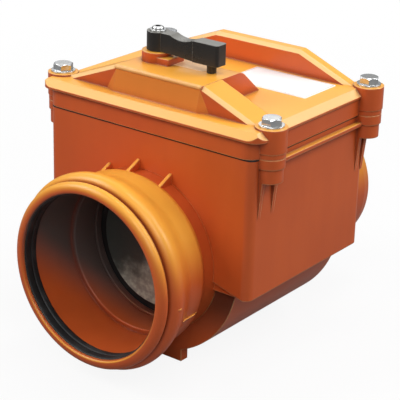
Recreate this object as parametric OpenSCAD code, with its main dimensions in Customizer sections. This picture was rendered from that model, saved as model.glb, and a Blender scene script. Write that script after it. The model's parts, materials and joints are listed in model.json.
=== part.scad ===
// Backwater valve for a DN 110 drain: a pipe socket, a flap chamber with a bolted cover, and a spigot.
// The flap swings open with the flow. The lever on the cover turns a cam that holds the flap shut.
// Frame: origin on the pipe axis at the socket's shoulder, +Y with the flow, +Z up.

/* [Pipe] */
// Outside diameter of the drain pipe
pipe_d = 110; // [104:0.5:116]
// Wall of the spigot and of the neck
pipe_wall = 3.2; // [2.6:0.1:4.5]
// Length of the outlet spigot behind the chamber
spigot_len = 62; // [45:1:90]
// Gap of a solvent-welded joint
weld_gap = 0.1; // [0.05:0.05:0.2]

/* [Socket] */
// Radial clearance of a pipe in the socket
socket_gap = 0.2; // [0.1:0.05:0.4]
// Depth of the socket to its shoulder
socket_depth = 47.5; // [42:0.5:60]
// Wall of the bell
bell_wall = 2.8; // [2.6:0.1:5]
// Height of the seal bulge above the bore
bulge_rise = 10.8; // [9:0.1:13]
// Height of the rounded lip above the bore
lip_rise = 7.3; // [6:0.1:9]
// Length of the rounded lip
lip_len = 6; // [5:0.25:8]
// Opening of the mouth beyond the bore, in radius
mouth_flare = 0.45; // [0.2:0.05:1]
// Start of the seal groove behind the mouth
seal_y = 2.4; // [2:0.1:4]
// Width of the seal
seal_w = 9.6; // [8:0.1:12]
// Depth of the seal groove
seal_depth = 4.2; // [3.5:0.1:4.6]
// Length of the neck between bell and chamber
neck_len = 8; // [5:0.5:15]
// Spacing of the three gussets behind the bell
gusset_pitch = 24.5; // [18:0.5:30]
// Distance of the middle gusset from the valve's middle
gusset_x = -6; // [-8:0.5:8]
// Thickness of a gusset
gusset_t = 2.4; // [1.5:0.1:4]

/* [Chamber] */
// Length of the chamber along the pipe
body_len = 131.5; // [125:0.5:160]
// Width of the chamber
body_w = 168; // [160:1:180]
// Wall of the chamber
wall = 4; // [3:0.25:5]
// Radius of the chamber's upright corners
corner_r = 6; // [4.5:0.25:10]
// Height of the parting plane above the pipe axis
rim_z = 83; // [82:0.5:95]
// Depth of the box walls below the pipe axis
box_drop = 12.5; // [8:0.5:25]
// Outer radius of the half-round trough
trough_r = 72; // [70:0.5:75]
// Set-back of the trough's ends from the walls
trough_inset = 5.5; // [4.5:0.25:8]
// Depth of the ledge inside the rim and of the lugs' upper step
ledge_h = 6.5; // [5:0.5:10]
// Reach of the side beads beyond the walls
bead_out = 3.8; // [2:0.1:5]
// Distance of the side beads below the parting plane
bead_drop = 4.7; // [3:0.1:8]
// Half width of the front foot
foot_half = 28; // [20:1:40]
// Half width of the rear foot
rear_foot_half = 15; // [10:1:40]
// Thickness of a foot along the pipe
foot_t = 7; // [5:0.5:12]
// Depth of the feet below the trough
foot_drop = 3; // [2:0.25:8]

/* [Cover] */
// Height of the cover's skirt
skirt_h = 12; // [9:0.5:15]
// Height of the chamfered edge of the cover
edge_h = 6; // [5:0.25:8]
// Upright part of that edge
edge_land = 1.5; // [1:0.1:3]
// Reach of the edge beyond the skirt, at the front and back
edge_out = 2.4; // [1.5:0.1:4]
// Reach of the front rail beyond the chamber's sides
rail_out = 6; // [4:0.25:8]
// Width of the edge's chamfer
edge_chamfer = 4.5; // [3:0.25:6]
// Thickness of the deck and of the cover's walls
cover_wall = 4; // [3:0.25:5]
// Height of the wings and the platform above the deck
crest_h = 17; // [13:0.5:20]
// Half length of the crests
crest_half = 35; // [28:0.5:38]
// Half length of the wings at the deck
wing_half = 78; // [70:0.5:80]
// Distance of the front wing behind the cover's front
wing_set = 14; // [12:0.5:18]
// Thickness of the front wing
wing_t = 21; // [16:0.5:24]
// Chamfer on the front edge of the wings
wing_chamfer = 2.4; // [1:0.2:3]
// Lean of the panel on the front wing
panel_lean = 3.8; // [2:0.2:5]
// Spread of the panel's sides at the deck
panel_flare = 7; // [4:0.5:9]
// Length of the platform's flat top, from the front wing's face
platform_len = 43; // [38:0.5:48]
// Run of the slope behind the platform
platform_run = 20; // [14:0.5:24]
// Radius at the top of that slope
platform_round = 12; // [6:0.5:16]
// Thickness of the back wing
back_wing_t = 8.6; // [8:0.1:12]
// Distance of the back wing's rear face from the cover's rear edge
back_wing_set = 7; // [6.5:0.25:12]
// Length of the label plate
label_l = 64.4; // [50:0.5:66]
// Thickness of the label plate
label_t = 0.5; // [0.3:0.1:1]
// Distance of the label from the cover's middle
label_x = 4.4; // [1:0.2:6]
// Clearance of the label from the platform's slope and from the back wing
label_gap = 4.4; // [2:0.2:6]

/* [Cover bolts] */
// Distance between the bolts across the cover
bolt_pitch_x = 171.2; // [170:0.2:190]
// Distance of the rear bolts in front of the chamber's rear face
bolt_rear = 2.5; // [2:0.25:20]
// Distance of the front bolts behind the cover's front
bolt_set = 19.5; // [16:0.5:26]
// Diameter of the bolt shank
bolt_d = 8; // [6:0.5:8]
// Width across flats of the bolts and nuts
bolt_af = 12; // [10:0.5:13]
// Height of the hex of a bolt's head
bolt_head_h = 4.6; // [4:0.1:8]
// Diameter of the bolt's flange
bolt_flange_d = 16.4; // [15:0.1:18]
// Thickness of the bolt's flange
bolt_flange_t = 1.3; // [1:0.1:2.5]
// Height of a nut
nut_h = 6.5; // [5:0.1:8]
// Radial clearance of bolts in their holes
bolt_gap = 0.4; // [0.2:0.05:0.6]
// Clearance of a nut in its pocket
nut_gap = 0.2; // [0.1:0.05:0.4]
// Radius of a lug
lug_r = 10.3; // [9.8:0.1:11.5]
// Height of the cover's lugs above the deck
lug_rise = 1.2; // [1:0.1:4]
// Height of the body's lugs
lug_h = 16; // [13:0.5:22]
// Height of the two taper ribs under a lug
lug_rib_h = 25; // [18:1:45]

/* [Flap] */
// Length of the seat ring
seat_len = 5; // [4:0.25:8]
// Step of the seat ring inside the neck's bore
seat_step = 1.3; // [0.8:0.1:2.5]
// Width of the seat's sealing face
seat_w = 6; // [4.5:0.25:7]
// Gap between the shut flap and its seat
flap_gap = 0.2; // [0.1:0.05:0.3]
// Thickness of the flap's seal
flap_seal_t = 4; // [3:0.25:6]
// Thickness of the flap's back plate
flap_disc_t = 3; // [2:0.25:4]
// Thickness of the clamp plate in front of the seal
clamp_t = 2; // [1.5:0.1:3]
// Radius of the clamp plate
clamp_r = 44.4; // [38:0.2:46]
// Height of the hinge axis above the seal's top
hinge_rise = 9; // [8.5:0.25:12]
// Distance of the hinge axis behind the seat
hinge_back = 6; // [4:0.25:6.5]
// Radius of the hinge pin
pin_r = 3.5; // [3:0.1:4]
// Running clearance of the hinge
hinge_gap = 0.05; // [0.02:0.01:0.09]
// Half length of the hanger's sleeve
sleeve_half = 20.4; // [18:0.2:22]
// Wall of a hinge bush
bush_t = 1.6; // [1.2:0.1:2]
// Wall of the hanger's sleeve
sleeve_wall = 2; // [1.5:0.1:2.5]
// Thickness of a hinge ear
ear_t = 5; // [4:0.25:7]
// Side clearance between sleeve and ears
ear_gap = 0.6; // [0.4:0.1:1]
// Radius of a hinge ear
ear_r = 8; // [7.5:0.25:9]
// Width of the hanger's strap
strap_w = 24; // [18:0.5:30]
// Thickness of the strap
strap_t = 5; // [4:0.25:7]

/* [Lock] */
// Distance of the spindle from the valve's middle
spindle_x = -22; // [-24:0.25:-20]
// Distance of the spindle behind the front wing's face
spindle_set = 27.5; // [25:0.25:30]
// Radius of the spindle
spindle_r = 4.5; // [4:0.1:5]
// Running clearance of the spindle
spindle_gap = 0.05; // [0.02:0.01:0.09]
// Wall of the spindle's bush
spindle_bush_t = 1.5; // [1.2:0.1:2]
// Radius of the boss on the platform
boss_r = 10.4; // [9:0.1:11]
// Height of the boss
boss_h = 7; // [5:0.25:9]
// Length of the flap's horn behind the hinge
horn_len = 21; // [19:0.25:22]
// Rise of the horn's tip above the hinge axis
horn_rise = 7; // [6:0.25:8]
// Width and height of the horn
horn_w = 6; // [4.5:0.25:6]
// Distance of the horn's middle from the spindle's axis
horn_off = 11.5; // [11:0.25:12]
// Clearance between the horn and the cam
lock_gap = 0.6; // [0.4:0.1:1]
// Reach of the cam's lobe
cam_reach = 17; // [15:0.5:17]
// Half width of the cam's lobe
cam_half = 5.5; // [4.5:0.25:5.8]
// Thickness of the cam
cam_t = 6; // [5:0.25:6]

/* [Lever] */
// Distance from the spindle to the lever's peg
lever_len = 44.5; // [40:0.5:46]
// Radius of the hub
hub_r = 7.3; // [7:0.1:8]
// Height of the lever
lever_h = 12.6; // [10:0.2:15]
// Thickness of the arm
arm_t = 9; // [7:0.25:10]
// Length of the end block
end_len = 20; // [16:0.5:22]
// Thickness of the end block
end_t = 10.5; // [9:0.25:12]
// Reach of the end block beyond the peg
end_reach = 8; // [6:0.25:9]
// Radius of the peg
peg_r = 3.2; // [2.5:0.1:4]
// Clearance under the lever's hub and peg
lever_gap = 0.4; // [0.3:0.05:0.6]
// Depth of the finger hollow along the arm's top
lever_hollow = 2.2; // [1:0.1:3]

/* [Hidden] */
$fn = 96;
EPS = 0.01;

// Pipe and socket
mouth_y = -socket_depth;
pipe_r = pipe_d / 2;
neck_r = pipe_r + 1.6;
bore_r = pipe_r - pipe_wall;
socket_r = pipe_r + socket_gap;
bell_r = socket_r + bell_wall;
bulge_r = socket_r + bulge_rise;
lip_r = socket_r + lip_rise;
lip_groove = 1.4;
bulge_y = seal_y + seal_w + 1;
bulge_taper = 15;
shoulder_t = 3;
gusset_rise = 6;

// Chamber
front_y = shoulder_t + neck_len;
back_y = front_y + body_len;
spigot_end = back_y + spigot_len;
collar_t = 3;
collar_out = 5;
half_w = body_w / 2;
floor_z = -box_drop;
trough_y0 = front_y + trough_inset;
trough_y1 = back_y - trough_inset;
neck_y = trough_y0 + wall;
outlet_y = trough_y1 - wall;
foot_z = -trough_r - foot_drop;
arch_depth = 2.2;
arch_h = 6.5;
arch_run = 27;

// Cover
skirt_out = 1.2;
skirt_y0 = front_y - skirt_out;
skirt_y1 = back_y + skirt_out;
skirt_half = half_w + skirt_out;
edge_y0 = skirt_y0 - edge_out;
edge_y1 = skirt_y1 + edge_out;
edge_half = skirt_half + skirt_out;
rail_half = half_w + rail_out;
edge_z = rim_z + skirt_h;
deck_z = edge_z + edge_h;
crest_z = deck_z + crest_h;
wing_y = edge_y0 + wing_set;
platform_y1 = wing_y + platform_len;
slope_a = atan2(crest_h, platform_run);
back_wing_y1 = edge_y1 - back_wing_set;
back_wing_y0 = back_wing_y1 - back_wing_t;
ridge_half = crest_half + 0.5;
cover_corner = 10;
inner_corner = 2;
gasket_w = 2.4;
gasket_h = 2;
gasket_in = 1;
gasket_half = bolt_pitch_x / 2 - bolt_d / 2 - bolt_gap - 1.6;
rim_half = gasket_half - gasket_w - 1.2;
cover_foot = 4;
bolt_wall = 2.4;
label_y0 = platform_y1 + platform_run + label_gap;
label_y1 = back_wing_y0 - label_gap;

// Cover bolts
bolt_x = bolt_pitch_x / 2;
bolt_ys = [edge_y0 + bolt_set, back_y - bolt_rear];
bolt_seat_z = deck_z + lug_rise;
lug_z = rim_z - lug_h;
lug_band = 3.6;
lug_step = 0.5;
nut_z = lug_z + 0.5;
hex = 6;
af_to_r = 1 / sqrt(3);
pocket_r = (bolt_af + 2 * nut_gap) * af_to_r;

// Flap
seat_y = neck_y + seat_len;
seat_in = bore_r - seat_step;
seat_out = seat_in + seat_w;
seat_base_t = 3;
seat_base_out = 3.5;
flap_y = seat_y + flap_gap;
disc_y = flap_y + flap_seal_t;
strap_y = disc_y + flap_disc_t;
flap_seal_r = seat_out + 0.5;
flap_disc_r = flap_seal_r - 1;
hinge_y = seat_y + hinge_back;
hinge_z = flap_seal_r + hinge_rise;
bush_r = pin_r + hinge_gap + bush_t;
sleeve_r = bush_r + sleeve_wall;
bush_len = 12;
bush_flange_t = 0.4;
ear_x = sleeve_half + ear_gap;
ear_end = ear_x + ear_t;
pin_head_t = 2;
clip_t = 1.2;
clip_out = 2.4;
clip_groove = 0.5;
rivet_r = 3;
rivet_circle = 0.76 * clamp_r;
rivet_head_r = 5;
rivet_head_t = 2;
flap_bolt_r = 4;
flap_bolt_af = 13;
flap_bolt_h = 5.3;
strap_tail = 14;

// Lock and lever
spindle_y = wing_y + spindle_set;
boss_top = crest_z + boss_h;
bush_out_r = spindle_r + spindle_gap + spindle_bush_t;
bush_low = deck_z - cover_wall;
horn_a = atan2(horn_rise, horn_len);
horn_top = hinge_z + horn_rise + horn_w / 2;
cam_z = horn_top + lock_gap;
cam_top = cam_z + cam_t;
cam_hub_r = spindle_r + 2.5;
cam_nut_h = 4.5;
cam_nut_af = 11;
hub_z = boss_top + lever_gap;
lever_z = crest_z + 6;
lever_top = hub_z + lever_h;
peg_x = spindle_x + lever_len;
lever_end = peg_x + end_reach;
stop_len = 15.5;
stop_h = 4.4;
screw_r = 2.5;
screw_head_r = 4;
screw_head_h = 2.6;
washer_r = 5.4;
washer_t = 1;
ring_section = 0.72;
ring_groove = 1.5;
ring_gap = 0.08;
ring_zs = [crest_z - 8, crest_z + 1];

pvc = [0.74, 0.33, 0.12];
rubber = [0.07, 0.07, 0.07];
zinc = [0.78, 0.79, 0.80];
steel = [0.66, 0.67, 0.68];
black_plastic = [0.10, 0.10, 0.10];
acetal = [0.85, 0.84, 0.80];
label_white = [0.97, 0.97, 0.97];

// Placing helpers
module along_y(y) translate([0, y, 0]) rotate([-90, 0, 0]) children();
module along_x(x) translate([x, 0, 0]) rotate([0, 90, 0]) children();
module at_hinge() translate([0, hinge_y, hinge_z]) children();
module at_spindle() translate([spindle_x, spindle_y, 0]) children();
module at_bolts() for (x = [-bolt_x, bolt_x], y = bolt_ys) translate([x, y, 0]) children();

// Tube round the pipe axis from y0 to y1
module tube_y(y0, y1, r_out, r_in) {
    along_y(y0) difference() {
        cylinder(r = r_out, h = y1 - y0);
        translate([0, 0, -EPS]) cylinder(r = r_in, h = y1 - y0 + 2 * EPS);
    }
}

// Rectangle with round corners, symmetric about the valve's middle
module round_plan(half, y0, y1, r) {
    translate([-half + r, y0]) square([2 * (half - r), y1 - y0]);
    translate([-half, y0 + r]) square([2 * half, y1 - y0 - 2 * r]);
    for (x = [-1, 1], y = [y0 + r, y1 - r]) translate([x * (half - r), y]) circle(r);
}

module slab(half, y0, y1, r, z0, z1) {
    translate([0, 0, z0]) linear_extrude(z1 - z0) round_plan(half, y0, y1, r);
}

// Extrudes an outline drawn in X and Z along Y
module extrude_y(y0, y1) translate([0, y1, 0]) rotate([90, 0, 0]) linear_extrude(y1 - y0) children();

// Extrudes an outline drawn in Y and Z along X
module extrude_x(x0, x1) translate([x0, 0, 0]) rotate([90, 0, 90]) linear_extrude(x1 - x0) children();

// Bell outline: half section in radius and distance from the mouth
module bell_section() {
    groove_y = lip_len + lip_groove;
    neck_end = neck_y - mouth_y;
    difference() {
        union() {
            polygon([
                [socket_r + mouth_flare, 0], [lip_r - lip_len / 2, 0], [lip_r, lip_len / 2], [lip_r, lip_len],
                [lip_r - lip_groove, groove_y], [bulge_r - 1, bulge_y - 3], [bulge_r, bulge_y - 1],
                [bulge_r, bulge_y + 1], [bulge_r - 2, bulge_y + 5], [bell_r, bulge_y + bulge_taper + 5],
                [bell_r - 0.3, socket_depth - 5], [neck_r + 0.4, socket_depth - 1], [neck_r, socket_depth + shoulder_t],
                [neck_r, neck_end], [bore_r, neck_end], [bore_r, socket_depth],
                [socket_r, socket_depth], [socket_r, seal_y]]);
            translate([lip_r - lip_len / 2, lip_len / 2]) circle(lip_len / 2);
        }
        translate([socket_r - 1, seal_y]) square([seal_depth + 1, seal_w]);
    }
}

module inlet_socket() color(pvc) {
    along_y(mouth_y) rotate_extrude() bell_section();
    for (i = [-1, 0, 1]) gusset(gusset_x + i * gusset_pitch);
}

// Taper rib between the bell's shoulder and the chamber's front wall
module gusset(x) {
    root = sqrt(pow(neck_r, 2) - x * x) - 1;
    edge = sqrt(pow(neck_r, 2) - x * x) + 0.8;
    extrude_x(x - gusset_t / 2, x + gusset_t / 2) polygon([
        [-2, edge - 1], [-2, edge], [front_y, edge + gusset_rise], [front_y, root], [shoulder_t, root]]);
}

module socket_seal() color(rubber) {
    seat_r = socket_r + seal_depth;
    valley_r = socket_r + 1.1;
    lip_in = socket_r + 0.1;
    along_y(mouth_y + seal_y) rotate_extrude() polygon([
        [seat_r, 0], [seat_r, seal_w], [valley_r, seal_w], [lip_in, seal_w * 0.8], [valley_r, seal_w * 0.55],
        [lip_in, seal_w * 0.25], [valley_r, 0]]);
}

// Outline of a lug that grows out of the side wall
module lug_plan(r) {
    circle(r);
    mirror([1, 0]) translate([0, -r]) square([bolt_x - half_w + wall, 2 * r]);
}

module lugs(r, z0, z1) {
    for (side = [0, 1], y = bolt_ys) mirror([side, 0, 0])
        translate([bolt_x, y, z0]) linear_extrude(z1 - z0) lug_plan(r);
}

// Two taper ribs that carry a lug on the side wall
module lug_ribs() {
    rib_t = 3;
    reach = bolt_x - half_w + 1;
    root = half_w - wall + 0.5;
    rib_d = lug_r - 3 * lug_step - rib_t / 2;
    rear_d = back_y - corner_r / 2 - bolt_ys[1];
    for (side = [0, 1], y = [bolt_ys[0] - rib_d, bolt_ys[0] + rib_d, bolt_ys[1] - rib_d, bolt_ys[1] + rear_d])
        mirror([side, 0, 0]) extrude_y(y - rib_t / 2, y + rib_t / 2) polygon([
            [root, lug_z + 1], [half_w + reach, lug_z + 1], [half_w + reach, lug_z], [half_w, lug_z - lug_rib_h],
            [root, lug_z - lug_rib_h]]);
}

// Bead along each side wall between the lugs, sloped underneath
module side_beads() {
    top = rim_z - bead_drop;
    bead_h = 2.4;
    for (side = [0, 1]) mirror([side, 0, 0]) extrude_y(bolt_ys[0], bolt_ys[1]) polygon([
        [half_w - 1, top], [half_w + bead_out, top], [half_w + bead_out, top - bead_h],
        [half_w, top - bead_h - 1.5], [half_w - 1, top - bead_h - 1.5]]);
}

module foot(y0, half) {
    translate([-half, y0, foot_z]) cube([2 * half, foot_t, trough_r + foot_drop]);
}

// Shallow arch that lifts the lower edge of the front wall beside the trough
module front_arch() {
    extrude_y(front_y - 1, front_y + arch_depth) polygon([
        [-half_w + 4, floor_z - 1], [-half_w + 4, floor_z], [-half_w + arch_run, floor_z + arch_h],
        [half_w - arch_run, floor_z + arch_h], [half_w - 4, floor_z], [half_w - 4, floor_z - 1]]);
}

module chamber_hollow() {
    difference() {
        slab(half_w - wall, front_y + wall, back_y - wall, inner_corner, floor_z + wall, rim_z - ledge_h);
        at_bolts() translate([0, 0, lug_z - bolt_wall]) cylinder(r = pocket_r + bolt_wall, h = lug_h);
    }
    slab(rim_half, front_y + wall, back_y - wall, inner_corner, rim_z - ledge_h - EPS, rim_z + 1);
    along_y(trough_y0 + wall) cylinder(r = trough_r - wall, h = trough_y1 - trough_y0 - 2 * wall);
}

module gasket_ring(z0, z1) {
    in = gasket_in + gasket_w;
    difference() {
        slab(gasket_half, front_y + gasket_in, back_y - gasket_in, inner_corner + gasket_w, z0, z1);
        slab(gasket_half - gasket_w, front_y + in, back_y - in, inner_corner, z0 - 1, z1 + 1);
    }
}

module valve_body() color(pvc) difference() {
    union() {
        slab(half_w, front_y, back_y, corner_r, floor_z, rim_z);
        side_beads();
        along_y(trough_y0) cylinder(r = trough_r, h = trough_y1 - trough_y0);
        lugs(lug_r - lug_step, rim_z - ledge_h, rim_z);
        lugs(lug_r - 3 * lug_step, lug_z, rim_z);
        lug_ribs();
        foot(trough_y0, foot_half);
        foot(trough_y1 - foot_t, rear_foot_half);
    }
    chamber_hollow();
    along_y(front_y - 1) cylinder(r = neck_r + weld_gap, h = neck_y - front_y + 2);
    along_y(outlet_y - 1) cylinder(r = neck_r + weld_gap, h = back_y - outlet_y + 2);
    front_arch();
    gasket_ring(rim_z - gasket_h / 2, rim_z + 1);
    at_bolts() {
        translate([0, 0, lug_z - 1]) cylinder(r = bolt_d / 2 + bolt_gap, h = lug_h + 2);
        translate([0, 0, lug_z - 1])
            cylinder(r = pocket_r, h = nut_z + nut_h - lug_z + 1, $fn = hex);
    }
}

module outlet_spigot() color(pvc) {
    bevel = 2.4;
    root = back_y - outlet_y;
    along_y(outlet_y) rotate_extrude() polygon([
        [bore_r, 0], [neck_r, 0], [neck_r, root], [pipe_r + collar_out, root], [pipe_r + collar_out, root + 1],
        [pipe_r + 1, root + collar_t], [pipe_r, root + collar_t], [pipe_r, root + spigot_len - 3 * bevel],
        [pipe_r - bevel / 2, root + spigot_len], [bore_r, root + spigot_len]]);
}

// Hinge ear: a plate from the seat ring's base to the pin
module ear_plan() {
    difference() {
        union() {
            translate([hinge_y, hinge_z]) circle(ear_r);
            polygon([
                [neck_y, hinge_z - hinge_rise - 8], [neck_y, hinge_z + ear_r - 3], [hinge_y, hinge_z + ear_r],
                [hinge_y, hinge_z - ear_r], [seat_y - 1, hinge_z - hinge_rise - 3],
                [seat_y - 1, hinge_z - hinge_rise - 8]]);
        }
        translate([hinge_y, hinge_z]) circle(pin_r);
    }
}

module seat_ring() color(pvc) {
    tube_y(neck_y, seat_y, seat_out, seat_in);
    tube_y(neck_y, neck_y + seat_base_t, seat_out + seat_base_out, seat_in);
    for (side = [0, 1]) mirror([side, 0, 0]) extrude_x(ear_x, ear_end) ear_plan();
}

// Wing outline in X and Z, shrunk by inset for the hollow under it
module wing_plan(inset) {
    slope = (wing_half - crest_half) / crest_h;
    shift = inset * slope;
    polygon([
        [-wing_half + shift, deck_z - cover_wall - EPS], [-wing_half + shift, deck_z],
        [-crest_half, crest_z - inset], [crest_half, crest_z - inset],
        [wing_half - shift, deck_z], [wing_half - shift, deck_z - cover_wall - EPS]]);
}

// Platform outline in Y and Z: flat top, round shoulder and straight slope
module platform_plan(inset) {
    top = crest_z - inset;
    back = platform_y1 - inset;
    half_turn = platform_round * tan(slope_a / 2);
    polygon([
        [wing_y + inset, deck_z - cover_wall - EPS], [wing_y + inset, top], [back - half_turn, top],
        [back + half_turn * cos(slope_a), top - half_turn * sin(slope_a)],
        [back + platform_run, top - crest_h], [back + platform_run, deck_z - cover_wall - EPS]]);
    translate([back - half_turn, top - platform_round]) circle(platform_round);
}

// Outline of the cover's edge between a0 and a1: upright land and chamfer
module edge_plan(a0, a1) {
    polygon([
        [a0, edge_z], [a0, edge_z + edge_land], [a0 + edge_chamfer, deck_z],
        [a1 - edge_chamfer, deck_z], [a1, edge_z + edge_land], [a1, edge_z]]);
}

module edge_band(half, y0, y1) {
    intersection() {
        slab(half, y0, y1, cover_corner, edge_z, deck_z);
        extrude_y(y0 - 1, y1 + 1) edge_plan(-half, half);
        extrude_x(-half - 1, half + 1) edge_plan(y0, y1);
    }
}

// Cover edge all round, and the wider rail in front of the front lugs
module cover_edge() {
    edge_band(edge_half, edge_y0, edge_y1);
    edge_band(rail_half, edge_y0, bolt_ys[0] + edge_chamfer);
}

// Wing with a chamfer along the front edge of its crest and slopes
module wing(y0, y1) hull() {
    extrude_y(y0 + wing_chamfer, y1) wing_plan(0);
    extrude_y(y0, y1) wing_plan(wing_chamfer);
}

// Leaning panel on the front wing, with sides that spread towards the deck
module front_panel() {
    top = crest_z - wing_chamfer;
    hull() {
        extrude_x(-crest_half + 1, crest_half - 1) polygon([
            [wing_y, top], [wing_y + 1, top], [wing_y + 1, deck_z - 1], [wing_y - panel_lean, deck_z - 1]]);
        translate([-crest_half - panel_flare, wing_y, deck_z - 1]) cube([2 * (crest_half + panel_flare), 1, 1]);
    }
}

module lever_boss() {
    at_spindle() {
        translate([0, 0, crest_z - 1]) cylinder(r = boss_r, h = boss_h + 1);
        translate([0, -boss_r + 2, crest_z - 1]) cube([stop_len, 2 * (boss_r - 2), stop_h + 1]);
        translate([0, 0, bush_low]) cylinder(r = boss_r, h = crest_z - bush_low);
    }
}

module cover_hollow() {
    slab(rim_half, front_y + cover_wall, back_y - cover_wall, inner_corner, rim_z - 1, deck_z - cover_wall);
    difference() {
        slab(half_w - cover_wall, front_y + cover_wall, back_y - cover_wall, inner_corner,
            rim_z + cover_foot, deck_z - cover_wall);
        at_bolts() translate([0, 0, rim_z]) cylinder(r = bolt_d / 2 + bolt_gap + bolt_wall, h = deck_z - rim_z);
    }
    extrude_y(wing_y + cover_wall, wing_y + wing_t - cover_wall) wing_plan(cover_wall);
    extrude_y(back_wing_y0 + cover_wall / 2, back_wing_y1 - cover_wall / 2) wing_plan(cover_wall);
    extrude_x(-ridge_half + cover_wall, ridge_half - cover_wall) platform_plan(cover_wall);
}

module cover() color(pvc) difference() {
    union() {
        difference() {
            union() {
                slab(skirt_half, skirt_y0, skirt_y1, cover_corner, rim_z, edge_z + 1);
                cover_edge();
                lugs(lug_r - lug_step, rim_z, edge_z);
                lugs(lug_r, rim_z + lug_band, edge_z + edge_land);
                at_bolts() translate([0, 0, edge_z]) cylinder(r = lug_r, h = bolt_seat_z - edge_z);
                wing(wing_y, wing_y + wing_t);
                wing(back_wing_y0, back_wing_y1);
                extrude_x(-ridge_half, ridge_half) platform_plan(0);
                front_panel();
            }
            cover_hollow();
        }
        lever_boss();
    }
    at_bolts() translate([0, 0, rim_z - 1]) cylinder(r = bolt_d / 2 + bolt_gap, h = bolt_seat_z - rim_z + 2);
    at_spindle() translate([0, 0, bush_low - 1]) cylinder(r = bush_out_r, h = boss_top - bush_low + 2);
    gasket_ring(rim_z - 1, rim_z + gasket_h / 2);
}

module cover_gasket() color(rubber) gasket_ring(rim_z - gasket_h / 2, rim_z + gasket_h / 2);

// Hex flange bolts, heads on the cover's lugs
module cover_bolts() color(zinc) at_bolts() {
    translate([0, 0, nut_z - 1]) cylinder(r = bolt_d / 2, h = bolt_seat_z - nut_z + 1 + EPS);
    translate([0, 0, bolt_seat_z]) cylinder(r = bolt_flange_d / 2, h = bolt_flange_t);
    translate([0, 0, bolt_seat_z]) intersection() {
        cylinder(r = bolt_af * af_to_r, h = bolt_flange_t + bolt_head_h, $fn = hex);
        rotate_extrude() polygon([
            [0, 0], [bolt_af * af_to_r + 1, 0], [bolt_af * af_to_r + 1, bolt_flange_t + bolt_head_h - 1.6],
            [bolt_af / 2 - 0.4, bolt_flange_t + bolt_head_h], [0, bolt_flange_t + bolt_head_h]]);
    }
}

module cover_nuts() color(zinc) at_bolts() translate([0, 0, nut_z]) difference() {
    cylinder(r = bolt_af * af_to_r, h = nut_h, $fn = hex);
    translate([0, 0, -1]) cylinder(r = bolt_d / 2, h = nut_h + 2);
}

module label_plate() color(label_white)
    translate([label_x, label_y0, deck_z]) cube([label_l, label_y1 - label_y0, label_t]);

module hinge_pin() color(steel) at_hinge() difference() {
    union() {
        along_x(-ear_end) cylinder(r = pin_r, h = 2 * ear_end + 3 * clip_t);
        along_x(-ear_end - pin_head_t) cylinder(r = pin_r + 2, h = pin_head_t);
    }
    along_x(ear_end) clip_ring(pin_r + 1);
}

module clip_ring(r_out) difference() {
    cylinder(r = r_out, h = clip_t);
    translate([0, 0, -1]) cylinder(r = pin_r - clip_groove, h = clip_t + 2);
}

module pin_clips() color(zinc) at_hinge() along_x(ear_end) clip_ring(pin_r + clip_out);

// Places children at the rivets of the flap, pointing downstream
module at_rivets() for (a = [45, 135, 225, 315])
    translate([rivet_circle * cos(a), 0, rivet_circle * sin(a)]) children();

module flap_plate(y, t, r) difference() {
    along_y(y) cylinder(r = r, h = t);
    at_rivets() along_y(y - 1) cylinder(r = rivet_r, h = t + 2);
    along_y(y - 1) cylinder(r = flap_bolt_r, h = t + 2);
}

module flap_disc() color(steel) flap_plate(disc_y, flap_disc_t, flap_disc_r);
module flap_seal() color(rubber) flap_plate(flap_y, flap_seal_t, flap_seal_r);
module flap_clamp_plate() color(steel) difference() {
    along_y(flap_y - clamp_t) cylinder(r = clamp_r, h = clamp_t);
    at_rivets() along_y(flap_y - clamp_t - 1) cylinder(r = rivet_r, h = clamp_t + 2);
}

module flap_rivets() color(steel) at_rivets() {
    along_y(flap_y - clamp_t) cylinder(r = rivet_r, h = clamp_t + flap_seal_t + flap_disc_t);
    along_y(strap_y) cylinder(r = rivet_head_r, h = rivet_head_t);
}

// Sleeve on the hinge, strap down the flap's back and the lock horn
module flap_hanger() color(steel) difference() {
    union() {
        at_hinge() along_x(-sleeve_half + bush_flange_t) cylinder(r = sleeve_r, h = 2 * (sleeve_half - bush_flange_t));
        translate([-strap_w / 2, strap_y, -strap_tail]) cube([strap_w, strap_t, hinge_z + strap_tail]);
        translate([spindle_x + horn_off - horn_w / 2, hinge_y, hinge_z]) rotate([horn_a, 0, 0])
            translate([0, 0, -horn_w / 2]) cube([horn_w, horn_len / cos(horn_a), horn_w]);
    }
    at_hinge() along_x(-sleeve_half - 1) cylinder(r = bush_r, h = 2 * sleeve_half + 2);
    along_y(strap_y - 1) cylinder(r = flap_bolt_r, h = strap_t + 2);
}

module flap_bolt() color(zinc) {
    along_y(flap_y) cylinder(r = flap_bolt_r, h = strap_y + strap_t - flap_y + EPS);
    along_y(strap_y + strap_t) cylinder(r = flap_bolt_af * af_to_r, h = flap_bolt_h, $fn = hex);
}

module hinge_bushes() color(acetal) for (side = [0, 1]) mirror([side, 0, 0]) at_hinge() difference() {
    union() {
        along_x(sleeve_half - bush_len) cylinder(r = bush_r, h = bush_len);
        along_x(sleeve_half - bush_flange_t) cylinder(r = sleeve_r, h = bush_flange_t);
    }
    along_x(sleeve_half - bush_len - 1) cylinder(r = pin_r + hinge_gap, h = bush_len + 2);
}

module spindle_bush() color(acetal) at_spindle() translate([0, 0, bush_low]) difference() {
    cylinder(r = bush_out_r, h = boss_top - bush_low);
    translate([0, 0, -1]) cylinder(r = spindle_r + spindle_gap, h = boss_top - bush_low + 2);
}

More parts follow.
